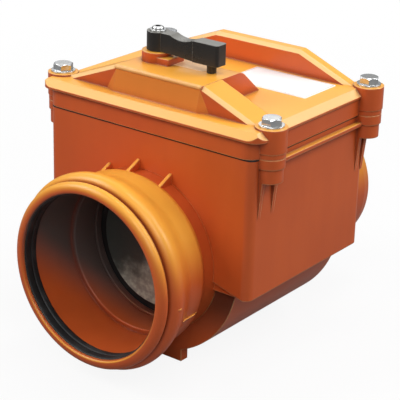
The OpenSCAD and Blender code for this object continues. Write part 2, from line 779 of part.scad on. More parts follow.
module spindle() color(steel) at_spindle() difference() {
    translate([0, 0, cam_z - cam_nut_h - 1]) cylinder(r = spindle_r, h = lever_top - 2 - cam_z + cam_nut_h + 1);
    for (z = ring_zs) translate([0, 0, z - ring_groove / 2]) difference() {
        cylinder(r = spindle_r + 1, h = ring_groove);
        translate([0, 0, -1]) cylinder(r = spindle_r - ring_gap - 2 * ring_section, h = ring_groove + 2);
    }
    translate([0, 0, hub_z]) cylinder(r = screw_r, h = lever_h);
}

module spindle_rings() color(rubber) at_spindle() for (z = ring_zs)
    translate([0, 0, z]) rotate_extrude() translate([spindle_r - ring_gap - ring_section, 0]) circle(ring_section, $fn = 32);

// Lever seen from above: hub, arm and end block
module lever_plan() {
    circle(hub_r);
    translate([0, -arm_t / 2]) square([lever_len, arm_t]);
    translate([lever_len + end_reach - end_len, -end_t / 2]) square([end_len - 2, end_t]);
    translate([lever_len + end_reach - 4, -end_t / 2 + 2]) square([4, end_t - 4]);
    for (y = [-1, 1]) translate([lever_len + end_reach - 2, y * (end_t / 2 - 2)]) circle(2);
}

// Lever seen from the side: hub up on the boss, arm with a finger hollow, end block down to the platform
module lever_side() {
    hollow_len = lever_len + end_reach - end_len - hub_r - 6;
    hollow_r = (pow(hollow_len / 2, 2) + pow(lever_hollow, 2)) / (2 * lever_hollow);
    hollow_x = hub_r + 6 + hollow_len / 2;
    difference() {
        polygon([
            [-hub_r - 1, hub_z], [-hub_r - 1, lever_top], [lever_len + end_reach + 1, lever_top],
            [lever_len + end_reach + 1, lever_z], [lever_len + end_reach - end_len, lever_z],
            [boss_r + 3, hub_z], [boss_r, hub_z]]);
        translate([hollow_x, lever_top - lever_hollow + hollow_r]) circle(hollow_r, $fn = 180);
    }
}

module lever() color(black_plastic) at_spindle() difference() {
    union() {
        intersection() {
            translate([0, 0, crest_z]) linear_extrude(lever_top - crest_z + 1) lever_plan();
            extrude_y(-hub_r - end_t, hub_r + end_t) lever_side();
        }
        translate([lever_len, 0, crest_z + lever_gap]) cylinder(r = peg_r, h = lever_z - crest_z);
    }
    translate([0, 0, hub_z - 1]) cylinder(r = spindle_r, h = lever_h - 1);
    translate([0, 0, hub_z]) cylinder(r = screw_r, h = lever_h + 1);
}

module lever_washer() color(zinc) at_spindle() translate([0, 0, lever_top]) difference() {
    cylinder(r = washer_r, h = washer_t);
    translate([0, 0, -1]) cylinder(r = screw_r, h = washer_t + 2);
}

module lever_screw() color(zinc) at_spindle() {
    translate([0, 0, hub_z + 1]) cylinder(r = screw_r, h = lever_h - 1 + washer_t);
    translate([0, 0, lever_top + washer_t]) cylinder(r = screw_head_r, h = screw_head_h);
}

// Cam whose lobe stands over the flap's horn after a quarter turn
module lock_cam() color(steel) at_spindle() translate([0, 0, cam_z]) difference() {
    union() {
        cylinder(r = cam_hub_r, h = cam_t + 2);
        translate([-cam_half, -cam_reach + cam_half, 0]) cube([2 * cam_half, cam_reach - cam_half, cam_t]);
        translate([0, -cam_reach + cam_half, 0]) cylinder(r = cam_half, h = cam_t);
    }
    translate([0, 0, -1]) cylinder(r = spindle_r, h = cam_t + 4);
}

module cam_nut() color(zinc) at_spindle() translate([0, 0, cam_z - cam_nut_h]) difference() {
    cylinder(r = cam_nut_af * af_to_r, h = cam_nut_h, $fn = hex);
    translate([0, 0, -1]) cylinder(r = spindle_r, h = cam_nut_h + 2);
}

inlet_socket();
socket_seal();
valve_body();
outlet_spigot();
seat_ring();
cover();
cover_gasket();
cover_bolts();
cover_nuts();
label_plate();
hinge_pin();
pin_clips();
flap_disc();
flap_seal();
flap_clamp_plate();
flap_rivets();
flap_hanger();
flap_bolt();
hinge_bushes();
spindle_bush();
spindle();
spindle_rings();
lever();
lever_washer();
lever_screw();
lock_cam();
cam_nut();
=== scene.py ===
"""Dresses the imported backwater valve: finishes, softened edges, small hardware, light and camera."""

from __future__ import annotations

import json
import logging
import math
from dataclasses import dataclass
from enum import Enum
from typing import Any

import bmesh
import bpy
from mathutils import Matrix, Vector

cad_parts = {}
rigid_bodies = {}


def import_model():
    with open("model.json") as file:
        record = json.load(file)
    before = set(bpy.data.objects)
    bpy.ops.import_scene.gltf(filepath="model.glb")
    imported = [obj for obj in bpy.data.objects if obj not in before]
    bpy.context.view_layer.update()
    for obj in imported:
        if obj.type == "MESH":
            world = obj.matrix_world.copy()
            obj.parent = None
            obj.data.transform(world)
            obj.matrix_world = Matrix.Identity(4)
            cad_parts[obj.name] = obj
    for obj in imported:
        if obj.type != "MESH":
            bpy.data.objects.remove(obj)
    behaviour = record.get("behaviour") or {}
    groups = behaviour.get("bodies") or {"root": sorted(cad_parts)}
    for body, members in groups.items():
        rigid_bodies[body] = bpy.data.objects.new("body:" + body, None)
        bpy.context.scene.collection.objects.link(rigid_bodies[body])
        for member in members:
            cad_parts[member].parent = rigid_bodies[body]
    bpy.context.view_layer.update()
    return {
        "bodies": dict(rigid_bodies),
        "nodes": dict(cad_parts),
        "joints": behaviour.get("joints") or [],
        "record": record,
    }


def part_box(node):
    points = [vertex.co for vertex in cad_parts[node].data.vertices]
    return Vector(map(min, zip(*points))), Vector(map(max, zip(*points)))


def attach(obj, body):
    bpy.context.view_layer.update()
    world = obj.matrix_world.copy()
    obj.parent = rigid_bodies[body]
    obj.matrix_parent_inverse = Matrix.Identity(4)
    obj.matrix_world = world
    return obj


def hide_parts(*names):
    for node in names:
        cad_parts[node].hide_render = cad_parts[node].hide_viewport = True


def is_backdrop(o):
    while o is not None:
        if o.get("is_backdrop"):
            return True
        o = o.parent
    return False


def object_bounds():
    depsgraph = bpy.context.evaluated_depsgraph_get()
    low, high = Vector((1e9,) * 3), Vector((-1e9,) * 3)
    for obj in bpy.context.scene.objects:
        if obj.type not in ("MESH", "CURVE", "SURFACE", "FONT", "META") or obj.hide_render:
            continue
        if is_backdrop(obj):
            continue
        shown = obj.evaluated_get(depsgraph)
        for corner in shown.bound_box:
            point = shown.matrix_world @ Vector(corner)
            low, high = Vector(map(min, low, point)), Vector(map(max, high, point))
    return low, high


LOG = logging.getLogger("backwater_valve")
MM = 0.001
TINY = 0.01 * MM
Colour = tuple[float, float, float]
Point = tuple[float, float]

# The pipe runs along Y, with the socket's mouth this many millimetres before the origin.
MOUTH = -47.5
PIPE_WAY = Vector((0.0, 1.0, 0.0))
MOUTH_CENTRE = PIPE_WAY * MOUTH * MM
# The lever's peg stands this many millimetres over the cover's platform.
LEVER_GAP = 0.4
# Sockets of a Mix node that mixes colours: factor, first colour, second colour and result.
MIX_FACTOR, MIX_FIRST, MIX_SECOND, MIX_RESULT = 0, 6, 7, 2
# Rays for each point of an eased edge or a corner.
SOFT_SAMPLES = 6


class Body(Enum):
    """Bodies of the valve that new pieces ride on."""

    VALVE = "valve"
    LEVER = "lever"


def channel(value: int) -> float:
    """Scene-linear value of one screen channel of 0 to 255."""
    level = value / 255
    return level / 12.92 if level <= 0.04045 else ((level + 0.055) / 1.055) ** 2.4


def linear(red: int, green: int, blue: int) -> Colour:
    """Scene-linear values of a screen colour of 0 to 255."""
    return channel(red), channel(green), channel(blue)


class Term:
    """A node socket that takes part in Python arithmetic."""

    def __init__(self, nodes: Nodes, socket: bpy.types.NodeSocket) -> None:
        """Wraps a socket of one node tree."""
        self.nodes = nodes
        self.socket = socket

    def _math(self, operation: str, first: Any, second: Any) -> Term:
        """Adds a Math node.

        Args:
            operation: Name of the Math node's operation.
            first: Term or number of the first input.
            second: Term or number of the second input.

        Returns:
            The node's result.
        """
        return self.nodes.node("ShaderNodeMath", {"operation": operation}, {0: first, 1: second})

    def __add__(self, other: Any) -> Term:
        """Sum of two values."""
        return self._math("ADD", self, other)

    __radd__ = __add__

    def __sub__(self, other: Any) -> Term:
        """Difference of two values."""
        return self._math("SUBTRACT", self, other)

    def __rsub__(self, other: Any) -> Term:
        """Reflected difference, as in 1 - mask."""
        return self._math("SUBTRACT", other, self)

    def __mul__(self, other: Any) -> Term:
        """Product of two values."""
        return self._math("MULTIPLY", self, other)

    __rmul__ = __mul__

    def __pow__(self, power: float) -> Term:
        """Value raised to a power."""
        return self._math("POWER", self, power)

    def __abs__(self) -> Term:
        """Distance from zero."""
        return self._math("ABSOLUTE", self, 0.0)

    def lowest(self, other: Any) -> Term:
        """Smaller of two values."""
        return self._math("MINIMUM", self, other)

    def above(self, limit: float) -> Term:
        """One where the value is over the limit, and zero elsewhere."""
        return self._math("GREATER_THAN", self, limit)

    def between(self, low: float, high: float) -> Term:
        """One from the low to the high limit, and zero elsewhere."""
        return self.above(low) * (1.0 - self.above(high))

    def ramp(self, low: float, high: float) -> Term:
        """Smooth step.

        Args:
            low: Value that becomes zero.
            high: Value that becomes one.

        Returns:
            The eased value between zero and one.
        """
        return self.nodes.node("ShaderNodeMapRange", {"interpolation_type": "SMOOTHSTEP"},
                               {"Value": self, "From Min": low, "From Max": high})

    def band(self, rise: Point, fall: Point) -> Term:
        """One between a smooth rise and a smooth fall."""
        return self.ramp(*rise) * (1.0 - self.ramp(*fall))

    def swing(self, size: float) -> Term:
        """Noise as a swing of that size about zero."""
        return (self - 0.5) * size

    def towards(self, other: Any, share: Term) -> Term:
        """Value that moves to another one by a share."""
        return self + share * (other - self)


class Nodes:
    """Adds nodes to one tree."""

    def __init__(self, tree: bpy.types.NodeTree) -> None:
        """Keeps the tree."""
        self.tree = tree

    def node(self, kind: str, settings: dict[str, Any] | None = None, inputs: dict[Any, Any] | None = None,
             output: int | str = 0) -> Term:
        """Adds any node.

        Args:
            kind: Blender's name of the node type.
            settings: Properties of the node, set first.
            inputs: Values or terms for its sockets, by name or index.
            output: Socket that the caller reads.

        Returns:
            The chosen output as a term.
        """
        made = self.tree.nodes.new(kind)
        for key, value in (settings or {}).items():
            setattr(made, key, value)
        for key, value in (inputs or {}).items():
            self.feed(made.inputs[key], value)
        return Term(self, made.outputs[output])

    def feed(self, socket: bpy.types.NodeSocket, value: Any) -> None:
        """Links a term to a socket or sets a plain value.

        Args:
            socket: Input that is fed.
            value: Term or plain value.
        """
        if isinstance(value, Term):
            self.tree.links.new(value.socket, socket)
        else:
            socket.default_value = value

    def parts(self, vector: Term) -> list[Term]:
        """X, Y and Z of a vector."""
        return [self.node("ShaderNodeSeparateXYZ", None, {"Vector": vector}, output=axis) for axis in "XYZ"]

    def ray(self, kind: str) -> Term:
        """One for rays of that kind, by the name of Light Path's output."""
        return self.node("ShaderNodeLightPath", output=kind)


class Shader(Nodes):
    """Node tree of one finish, with a principled surface."""

    def __init__(self, name: str) -> None:
        """Starts a material.

        Args:
            name: Name of the material.
        """
        self.material = bpy.data.materials.new(name)
        self.material.use_nodes = True
        super().__init__(self.material.node_tree)
        self.surface = self.tree.nodes["Principled BSDF"]

    def set(self, **sockets: Any) -> None:
        """Sets sockets of the surface, written with underscores for blanks."""
        for key, value in sockets.items():
            self.feed(self.surface.inputs[key.replace("_", " ")], value)

    def place(self, scale: tuple[float, float, float] = (1.0, 1.0, 1.0)) -> Term:
        """Object coordinates, stretched by the given scale."""
        here = self.node("ShaderNodeTexCoord", output="Object")
        return self.node("ShaderNodeMapping", None, {"Vector": here, "Scale": scale})

    def noise(self, place: Term, scale: float, detail: float = 2.0) -> Term:
        """Cloudy value between zero and one.

        Args:
            place: Where the pattern is read.
            scale: Features per metre.
            detail: Octaves of finer noise.

        Returns:
            The noise value.
        """
        return self.node("ShaderNodeTexNoise", None, {"Vector": place, "Scale": scale, "Detail": detail})

    def blend(self, factor: Any, first: Any, second: Any) -> Term:
        """Mixes two colours.

        Args:
            factor: Share of the second colour.
            first: Colour or term at zero.
            second: Colour or term at one.

        Returns:
            The mixed colour.
        """
        first, second = (value if isinstance(value, Term) else (*value, 1.0) for value in (first, second))
        return self.node("ShaderNodeMix", {"data_type": "RGBA"},
                         {MIX_FACTOR: factor, MIX_FIRST: first, MIX_SECOND: second}, output=MIX_RESULT)

    def rounded(self, radius: float) -> Term:
        """Surface normal with edges eased over the given radius."""
        return self.node("ShaderNodeBevel", {"samples": SOFT_SAMPLES}, {"Radius": radius})

    def true_normal(self) -> Term:
        """Surface normal without eased edges."""
        return self.node("ShaderNodeNewGeometry", output="Normal")

    def edge_mask(self, soft_normal: Term, gain: float) -> Term:
        """Bright along edges, from how far the eased normal turns.

        Args:
            soft_normal: Normal with eased edges.
            gain: Strength of the mask.

        Returns:
            A value between zero and one.
        """
        match = self.node("ShaderNodeVectorMath", {"operation": "DOT_PRODUCT"},
                          {0: soft_normal, 1: self.true_normal()}, output="Value")
        return ((1.0 - match) * gain).lowest(1.0)

    def openness(self, reach: float) -> Term:
        """One on open faces and lower in the piece's own corners.

        Args:
            reach: Distance within which a face counts as near.

        Returns:
            The share of open directions.
        """
        return self.node("ShaderNodeAmbientOcclusion", {"samples": SOFT_SAMPLES, "only_local": True},
                         {"Distance": reach}, output="AO")

    def facing(self) -> list[Term]:
        """X, Y and Z of the surface's true direction."""
        return self.parts(self.true_normal())

    def bump(self, height: Term, distance: float, strength: float, normal: Term) -> Term:
        """Raises a height pattern on the surface.

        Args:
            height: Pattern between zero and one.
            distance: Depth of the pattern in metres.
            strength: Share of the effect.
            normal: Normal that the pattern starts from.

        Returns:
            The bumped normal.
        """
        sockets = {"Height": height, "Distance": distance, "Strength": strength, "Normal": normal}
        return self.node("ShaderNodeBump", None, sockets)


@dataclass(frozen=True)
class PipeLightAndShade:
    """Painted shade and sheen on the valve's plastic, placed along the pipe.

    The waterway lists its radius and end, stretch by stretch. A rise or fall is a pair of values, from its
    start to its end. Directions are the normal's share along an axis.
    """

    # Colours of the painted grey shade in the bore, the painted shade on the trough's front end and the
    # painted sheen on the chamfers.
    bore_shade: Colour
    splash: Colour
    chamfer_sheen_colour: Colour
    waterway: tuple[Point, ...] = ((55.4 * MM, 18.0 * MM), (70.0 * MM, 135.0 * MM), (52.6 * MM, 300.0 * MM))
    wall_blur: float = 0.8 * MM
    neck_start: Point = (-1.5 * MM, 1.5 * MM)
    neck_end: float = 20.0 * MM
    neck_skin: Point = (57.0 * MM, 57.6 * MM)
    chamfer_rise: Point = (0.56, 0.66)
    chamfer_fall: Point = (0.76, 0.86)
    sheen_above: float = 88.0 * MM
    crests_above: float = 101.5 * MM
    sheen_sides: Point = (0.3, 0.6)
    sheen_share: float = 0.12
    sheen_side_share: float = 0.4
    sheen_crest_share: float = 0.55
    sheen_most: float = 0.7
    trough_shade_front: Point = (-0.9, -0.6)
    trough_shade_place: Point = (14.0 * MM, 20.0 * MM)
    trough_shade_rise: Point = (-60.0 * MM, -20.0 * MM)
    trough_shade_fall: Point = (-13.0 * MM, -5.0 * MM)
    trough_shade_share: float = 0.85
    bore_shade_end: float = 50.0 * MM
    bore_shade_slope: float = 0.9
    bore_shade_rise: Point = (-12.0 * MM, 34.0 * MM)

    def inside(self, reach: Term, y: Term) -> Term:
        """One in the waterway, which gets no painted top light.

        Args:
            reach: Distance from the pipe axis.
            y: Place along the pipe.

        Returns:
            A value that is zero on the outer faces.
        """
        start = 2 * MOUTH * MM
        share: Any = 0.0
        for radius, end in self.waterway:
            share = share + (1.0 - reach.ramp(radius, radius + self.wall_blur)) * y.between(start, end)
            start = end
        return share

    def painted_neck_shade(self, reach: Term, y: Term) -> Term:
        """One on the neck's last stretch, where painted shade by the wall holds back the painted top light.
        """
        skin = 1.0 - reach.ramp(*self.neck_skin)
        return y.ramp(*self.neck_start) * (1.0 - y.above(self.neck_end)) * skin

    def chamfer_sheen(self, sideways: Term, upwards: Term, z: Term) -> Term:
        """Painted sheen on the cover's chamfers, stronger at their ends and on the wings' crests.

        Args:
            sideways: Share of the direction to the right.
            upwards: Share of the direction up.
            z: Height.

        Returns:
            The share of the sheen's colour.
        """
        chamfer = upwards.band(self.chamfer_rise, self.chamfer_fall) * z.above(self.sheen_above)
        ends = abs(sideways).ramp(*self.sheen_sides) * self.sheen_side_share
        crests = z.above(self.crests_above) * self.sheen_crest_share
        return chamfer * (self.sheen_share + ends + crests).lowest(self.sheen_most)

    def painted_trough_shade(self, forwards: Term, y: Term, z: Term) -> Term:
        """Painted shade on the trough's front end, under the box.

        Args:
            forwards: Share of the direction along the flow.
            y: Place along the pipe.
            z: Height.

        Returns:
            The share of the painted shade's colour.
        """
        front_end = (1.0 - forwards.ramp(*self.trough_shade_front)) * y.between(*self.trough_shade_place)
        return front_end * z.band(self.trough_shade_rise, self.trough_shade_fall) * self.trough_shade_share

    def painted_bore_shade(self, inside: Term, y: Term, z: Term) -> Term:
        """Painted grey shade in the socket, which reaches lower towards the flap.

        Args:
            inside: One in the waterway.
            y: Place along the pipe.
            z: Height.

        Returns:
            The share of the shade's colour.
        """
        level = z + (y - MOUTH * MM) * self.bore_shade_slope
        return inside * (1.0 - y.above(self.bore_shade_end)) * level.ramp(*self.bore_shade_rise)


@dataclass(frozen=True)
class MouldedPlastic:
    """Injection-moulded plastic: cloudy colour, fine grain, painted edge highlights, painted corner shade
    and painted top light.
    """

    name: str
    colour: Colour
    shade: Colour
    # Pale colour of the painted highlights along the eased edges.
    edge: Colour
    roughness: float
    cloud_scale: float = 14.0
    cloud_share: float = 0.7
    flow_scale: float = 90.0
    flow_stretch: tuple[float, float, float] = (1.0, 1.0, 0.12)
    mottle_span: Point = (0.3, 0.7)
    edge_radius: float = 1.2 * MM
    edge_highlight_share: float = 0.8
    edge_gain: float = 4.0
    # Darker colour of the painted shade in the piece's own corners and creases.
    corner: Colour | None = None
    corner_shade_reach: float = 7.0 * MM
    corner_shade_span: Point = (0.45, 0.9)
    corner_shade_share: float = 0.8
    open_span: Point = (0.75, 0.95)
    grain: float = 900.0
    grain_depth: float = 0.05 * MM
    grain_share: float = 0.25
    cloud_gloss: float = 0.12
    grain_gloss: float = 0.06
    specular: float = 0.35
    # Paler colour of the painted light on faces that look up, blended in by how much they look up.
    painted_top_light: Colour | None = None
    top_light_faces: Point = (-0.04, 0.66)
    # Painted shade and sheen placed along the pipe.
    pipe_light_and_shade: PipeLightAndShade | None = None

    def make(self) -> bpy.types.Material:
        """Builds the material.

        Returns:
            The finished material.
        """
        shader = Shader(self.name)
        here = shader.place()
        cloud = shader.noise(here, self.cloud_scale, detail=3.0)
        flow = shader.noise(shader.place(self.flow_stretch), self.flow_scale)
        grain = shader.noise(here, self.grain, detail=1.0)
        soft_normal = shader.rounded(self.edge_radius)
        edges = shader.edge_mask(soft_normal, self.edge_gain)
        mottle = cloud * self.cloud_share + flow * (1.0 - self.cloud_share)
        tone = shader.blend(mottle.ramp(*self.mottle_span), self.shade, self.colour)
        if self.painted_top_light:
            tone, edges = self._paint_light_and_shade(shader, here, tone, edges)
        # Painted shade: corners and creases darken towards the corner colour, by how closed in they are.
        if self.corner:
            open_share = shader.openness(self.corner_shade_reach)
            corner_shade = 1.0 - open_share.ramp(*self.corner_shade_span)
            tone = shader.blend(corner_shade * self.corner_shade_share, tone, self.corner)
            edges = edges * open_share.ramp(*self.open_span)
        gloss = cloud.swing(self.cloud_gloss) + grain.swing(self.grain_gloss)
        # Painted highlights: the eased edges blend towards the pale edge colour.
        shader.set(Base_Color=shader.blend(edges * self.edge_highlight_share, tone, self.edge),
                   Roughness=self.roughness + gloss,
                   Normal=shader.bump(grain, self.grain_depth, self.grain_share, soft_normal),
                   Specular_IOR_Level=self.specular)
        return shader.material

    def _paint_light_and_shade(self, shader: Shader, here: Term, tone: Term, edges: Term) -> tuple[Term, Term]:
        """Paints light on the faces that look up and adds the painted shade and sheen along the pipe.

        Args:
            shader: Finish that is built.
            here: Object coordinates.
            tone: Colour of the fresh plastic.
            edges: Mask of the pale edges.

        Returns:
            The colour with painted light and shade, and the edge mask without the painted shade in the
            bore.
        """
        x, y, z = shader.parts(here)
        sideways, forwards, upwards = shader.facing()
        # Painted light from above: the more a face looks up, the paler it gets.
        light = upwards.ramp(*self.top_light_faces)
        pipe_light_and_shade = self.pipe_light_and_shade
        if pipe_light_and_shade is None:
            return shader.blend(light, tone, self.painted_top_light), edges
        reach = (x * x + z * z) ** 0.5
        inside = pipe_light_and_shade.inside(reach, y)
        # Painted shade: the neck's last stretch by the wall gets no painted top light.
        light = light * (1.0 - inside) * (1.0 - pipe_light_and_shade.painted_neck_shade(reach, y))
        tone = shader.blend(light, tone, self.painted_top_light)
        # Painted sheen: the cover's chamfers blend towards a pale cream.
        tone = shader.blend(pipe_light_and_shade.chamfer_sheen(sideways, upwards, z), tone, pipe_light_and_shade.chamfer_sheen_colour)
        # Painted shade: the trough's front end under the box goes dark brown.
        tone = shader.blend(pipe_light_and_shade.painted_trough_shade(forwards, y, z), tone, pipe_light_and_shade.splash)
        # Painted grey shade in the bore, which also takes the edge highlights out there.
        film = pipe_light_and_shade.painted_bore_shade(inside, y, z)
        return shader.blend(film, tone, pipe_light_and_shade.bore_shade), edges * (1.0 - film)


@dataclass(frozen=True)
class Rubber:
    """Dull black rubber with a faint bloom."""

    name: str = "seal_rubber"
    colour: Colour = linear(24, 24, 25)
    bloom: Colour = linear(52, 51, 50)
    bloom_scale: float = 70.0
    bloom_span: Point = (0.45, 0.8)
    bloom_gloss: float = 0.2
    roughness: float = 0.58
    grain: float = 1500.0
    grain_depth: float = 0.04 * MM
    grain_share: float = 0.3
    edge_radius: float = 0.4 * MM

    def make(self) -> bpy.types.Material:
        """Builds the material.

        Returns:
            The finished material.
        """
        shader = Shader(self.name)
        here = shader.place()
        bloom = shader.noise(here, self.bloom_scale, detail=3.0)
        grain = shader.noise(here, self.grain, detail=1.0)
        shader.set(Base_Color=shader.blend(bloom.ramp(*self.bloom_span), self.colour, self.bloom),
                   Roughness=self.roughness + bloom.swing(self.bloom_gloss),
                   Normal=shader.bump(grain, self.grain_depth, self.grain_share,
                                      shader.rounded(self.edge_radius)))
        return shader.material


@dataclass(frozen=True)
class BrightMetal:
    """Bright metal with drawn streaks along one direction."""

    name: str
    colour: Colour
    tint: Colour
    roughness: float
    streak: tuple[float, float, float]
    streak_depth: float = 0.012 * MM
    streak_share: float = 0.35
    streak_gloss: float = 0.16
    cloud_scale: float = 110.0
    cloud_span: Point = (0.35, 0.7)
    cloud_gloss: float = 0.1
    edge_radius: float = 0.35 * MM

    def make(self) -> bpy.types.Material:
        """Builds the material.

        Returns:
            The finished material.
        """
        shader = Shader(self.name)
        cloud = shader.noise(shader.place(), self.cloud_scale, detail=3.0)
        lines = shader.noise(shader.place(self.streak), scale=1.0, detail=4.0)
        gloss = lines.swing(self.streak_gloss) + cloud.swing(self.cloud_gloss)
        shader.set(Base_Color=shader.blend(cloud.ramp(*self.cloud_span), self.colour, self.tint),
                   Metallic=1.0,
                   Roughness=self.roughness + gloss,
                   Normal=shader.bump(lines, self.streak_depth, self.streak_share,
                                      shader.rounded(self.edge_radius)))
        return shader.material


@dataclass(frozen=True)
class MottledSteel:
    """Dull rolled sheet with a painted pale highlight in patches low on the plate and to its right."""

    name: str
    dull: Colour
    pale: Colour
    full_at: float
    none_at: float
    lean: float = 0.6
    patch_scale: float = 95.0
    patch_reach: float = 40.0 * MM
    patch_gloss: float = 0.3
    patch_depth: float = 0.5 * MM
    patch_share: float = 0.5
    speckle_scale: float = 260.0
    speckle_span: Point = (0.35, 0.7)
    speckle_share: float = 0.45
    speckle_metal: float = 0.12
    roughness: float = 0.34
    edge_radius: float = 0.35 * MM

    def make(self) -> bpy.types.Material:
        """Builds the material.

        Returns:
            The finished material.
        """
        shader = Shader(self.name)
        here = shader.place()
        patch = shader.noise(here, self.patch_scale, detail=5.0)
        speckle = shader.noise(here, self.speckle_scale, detail=3.0).ramp(*self.speckle_span)
        x, _, z = shader.parts(here)
        # Painted highlight: pale low on the plate and to its right, broken up by patches and speckle.
        painted_glint = (z - x * self.lean + patch.swing(self.patch_reach)).ramp(self.none_at, self.full_at)
        bright = painted_glint * (1.0 - self.speckle_share + speckle * self.speckle_share)
        shader.set(Base_Color=shader.blend(bright, self.dull, self.pale),
                   Metallic=speckle * self.speckle_metal,
                   Roughness=self.roughness + patch.swing(self.patch_gloss),
                   Normal=shader.bump(patch, self.patch_depth, self.patch_share,
                                      shader.rounded(self.edge_radius)))
        return shader.material


@dataclass(frozen=True)
class BlankLabel:
    """White film with a thin grey frame line and nothing else."""

    low: Vector
    high: Vector
    paper: Colour = linear(250, 250, 249)
    line: Colour = linear(176, 174, 172)
    inset: float = 0.9 * MM
    line_width: float = 0.5 * MM
    roughness: float = 0.42
    mottle_scale: float = 60.0
    mottle_gloss: float = 0.1

    def make(self) -> bpy.types.Material:
        """Builds the material.

        Returns:
            The finished material.
        """
        shader = Shader("blank_label")
        here = shader.place()
        middle, half = (self.low + self.high) / 2, (self.high - self.low) / 2
        across, along = [half[i] - abs(part - middle[i]) for i, part in enumerate(shader.parts(here)[:2])]
        line = across.lowest(along).between(self.inset, self.inset + self.line_width)
        mottle = shader.noise(here, self.mottle_scale)
        shader.set(Base_Color=shader.blend(line, self.paper, self.line),
                   Roughness=self.roughness + mottle.swing(self.mottle_gloss))
        return shader.material


class Finish(Enum):
    """Finishes of the valve, each with what makes it."""

    # PVC: the pale edge colour paints highlights, the dark corner colour paints shade in corners, the pale
    # yellow top colour paints light from above, and the pipe's colours paint shade in the bore and on the
    # trough's end and sheen on the chamfers.
    PVC = MouldedPlastic(
        "orange_brown_pvc", linear(207, 93, 41), linear(198, 86, 38), linear(253, 208, 146),
        roughness=0.32, corner=linear(122, 50, 26), painted_top_light=linear(247, 173, 64),
        pipe_light_and_shade=PipeLightAndShade(bore_shade=linear(96, 84, 80), splash=linear(58, 36, 28),
                        chamfer_sheen_colour=linear(252, 214, 158)))
    # Lever: the pale grey edge and top colours paint highlights on edges and sheen on faces that look up.
    LEVER = MouldedPlastic(
        "black_lever_plastic", linear(34, 33, 32), linear(27, 27, 26), linear(150, 147, 140),
        roughness=0.3, edge_radius=0.6 * MM, specular=0.5, painted_top_light=linear(112, 110, 104))
    ACETAL = MouldedPlastic(
        "natural_acetal", linear(226, 223, 212), linear(214, 210, 198), linear(240, 238, 230),
        roughness=0.4, edge_radius=0.3 * MM)
    PAD = MouldedPlastic(
        "pale_pad_film", linear(248, 206, 160), linear(242, 194, 146), linear(252, 226, 190),
        roughness=0.45, edge_radius=0.2 * MM)
    # A pale cream finish that paints a highlight on the platform's bead.
    BEAD_HIGHLIGHT = MouldedPlastic(
        "highlight_bead_pvc", linear(246, 196, 128), linear(236, 170, 96), linear(254, 226, 180),
        roughness=0.36, edge_radius=0.4 * MM)
    RUBBER = Rubber()
    ZINC = BrightMetal("bright_zinc", (0.66, 0.66, 0.65), (0.56, 0.58, 0.60), roughness=0.17,
                       streak=(300.0, 300.0, 900.0))
    # The pale colour paints a highlight low on the flap plate and to its right.
    SHEET = MottledSteel("rolled_flap_sheet", linear(80, 88, 84), linear(240, 252, 236), full_at=-30.0 * MM,
                         none_at=2.0 * MM)
    STEEL = BrightMetal("brushed_stainless", (0.62, 0.61, 0.60), (0.55, 0.55, 0.55), roughness=0.3,
                        streak=(40.0, 900.0, 2600.0))


DRESSED_NODES: dict[Finish, tuple[str, ...]] = {
    Finish.PVC: ("inlet_socket", "valve_body", "outlet_spigot", "cover", "seat_ring"),
    Finish.RUBBER: ("socket_seal", "cover_gasket", "flap_seal", "spindle_rings"),
    Finish.ZINC: ("cover_bolts", "cover_nuts", "pin_clips", "flap_bolt", "lever_washer", "lever_screw",
                  "cam_nut"),
    Finish.STEEL: ("hinge_pin", "flap_disc", "flap_hanger", "spindle", "lock_cam"),
    Finish.SHEET: ("flap_clamp_plate", "flap_rivets"),
    Finish.ACETAL: ("hinge_bushes", "spindle_bush"),
    Finish.LEVER: ("lever",),
}


@dataclass
class Workshop:
    """Makes pieces from bmeshes and gives out the finishes."""

    frame: dict[str, Any]

    def __post_init__(self) -> None:
        """Builds every finish once."""
        self.materials = {finish: finish.value.make() for finish in Finish}

    def piece(self, name: str, mesh: bmesh.types.BMesh, material: bpy.types.Material, body: Body,
              replaces: tuple[str, ...] = (), smooth_angle: float = math.radians(35)) -> None:
        """Turns a bmesh into a piece that rides on a body.

        Args:
            name: Name of the piece.
            mesh: Shape, in metres and in place.
            material: Finish of the piece.
            body: Body that carries it.
            replaces: Nodes that the piece stands for.
            smooth_angle: Sharper edges than this stay crisp.
        """
        data = bpy.data.meshes.new(name)
        for face in mesh.faces:
            face.smooth = True
        for edge in mesh.edges:
            edge.smooth = len(edge.link_faces) == 2 and edge.calc_face_angle(0.0) < smooth_angle
        mesh.to_mesh(data)
        mesh.free()
        made = bpy.data.objects.new(name, data)
        bpy.context.scene.collection.objects.link(made)
        made.data.materials.append(material)
        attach(made, body.value)
        if replaces:
            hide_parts(*replaces)
        LOG.info("piece %s: %d faces on %s", name, len(data.polygons), body.value)

    def dress(self, node: str, finish: Finish) -> None:
        """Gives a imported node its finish.

        Args:
            node: Name of the node.
            finish: Finish that it gets.
        """
        target = self.frame["nodes"][node]
        target.data.materials.clear()
        target.data.materials.append(self.materials[finish])
        LOG.info("node %s: %s", node, finish.name)


def soften(mesh: bmesh.types.BMesh, edges: list[bmesh.types.BMEdge], width: float, segments: int) -> None:
    """Rounds edges of a mesh.

    Args:
        mesh: Mesh that is changed.
        edges: Edges that get round.
        width: Width of the rounding.
        segments: Faces across it.
    """
    bmesh.ops.bevel(mesh, geom=edges, offset=width, affect="EDGES", segments=segments, profile=0.5,
                    material=-1)


def moved(made: list[Any]) -> list[bmesh.types.BMVert]:
    """Vertices among the things that an extrusion made."""
    return [part for part in made if isinstance(part, bmesh.types.BMVert)]


